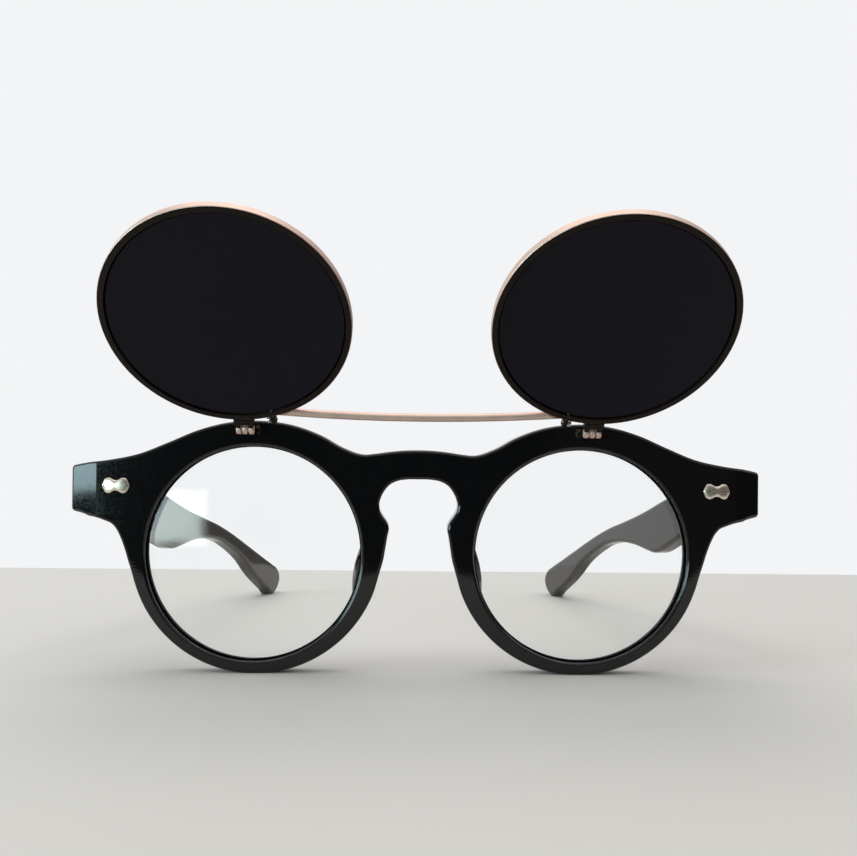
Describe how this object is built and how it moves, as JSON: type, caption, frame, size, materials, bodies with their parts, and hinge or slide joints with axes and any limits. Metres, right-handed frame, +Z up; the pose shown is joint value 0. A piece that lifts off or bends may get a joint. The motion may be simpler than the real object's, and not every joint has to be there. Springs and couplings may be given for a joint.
{
  "type": "flip-up round glasses",
  "caption": "Round black acetate glasses with a keyhole bridge, folding temples and hinged flip-up dark sun lenses in thin rose gold rims joined by a bar.",
  "frame": {"origin": "on the surface the glasses rest on, below the middle of the bounding box: midway between the sides and midway from front to back", "axes": "+X towards the wearer's left, +Y backwards from the front towards the temple tips, +Z up"},
  "size_m": [0.1432, 0.1714, 0.0849],
  "materials": {
    "black_acetate": "polished",
    "clear_lens": "clear, anti-reflection coated",
    "smoked_lens": "dark smoke, polished",
    "rose_gold": "rose gold plated, polished",
    "pale_gilt": "pale gilt, brushed",
    "steel": "nickel plated"
  },
  "bodies": {
    "front": {"front_frame": "black_acetate", "left_lens": "clear_lens", "right_lens": "clear_lens", "left_nose_pad": "black_acetate", "right_nose_pad": "black_acetate", "left_front_plaque": "pale_gilt", "right_front_plaque": "pale_gilt", "left_hinge_front_leaf": "steel", "right_hinge_front_leaf": "steel", "left_hinge_screw": "steel", "right_hinge_screw": "steel", "left_flip_hinge_base": "rose_gold", "right_flip_hinge_base": "rose_gold", "left_flip_hinge_pin": "rose_gold", "right_flip_hinge_pin": "rose_gold"},
    "flip": {"flip_bar": "rose_gold", "left_sun_rim": "rose_gold", "right_sun_rim": "rose_gold", "left_sun_lens": "smoked_lens", "right_sun_lens": "smoked_lens", "left_flip_hinge_arm": "rose_gold", "right_flip_hinge_arm": "rose_gold", "left_rim_lock": "rose_gold", "right_rim_lock": "rose_gold", "left_rim_screw": "steel", "right_rim_screw": "steel"},
    "left_temple": {"left_temple_arm": "black_acetate", "left_core_wire": "steel", "left_hinge_temple_leaf": "steel"},
    "right_temple": {"right_temple_arm": "black_acetate", "right_core_wire": "steel", "right_hinge_temple_leaf": "steel"}
  },
  "joints": [
    {"name": "flip_up", "type": "hinge", "parent": "front", "child": "flip", "pos_m": [0, -0.05184, 0.04939], "axis": [1, 0, 0], "range_deg": [0, 139.4]},
    {"name": "left_temple_fold", "type": "hinge", "parent": "front", "child": "left_temple", "pos_m": [0.06565, -0.04048, 0.03707], "axis": [0, -0.0523, 0.9986], "range_deg": [0, 81]},
    {"name": "right_temple_fold", "type": "hinge", "parent": "front", "child": "right_temple", "pos_m": [-0.06565, -0.04048, 0.03707], "axis": [0, 0.0523, -0.9986], "range_deg": [0, 76]}
  ]
}
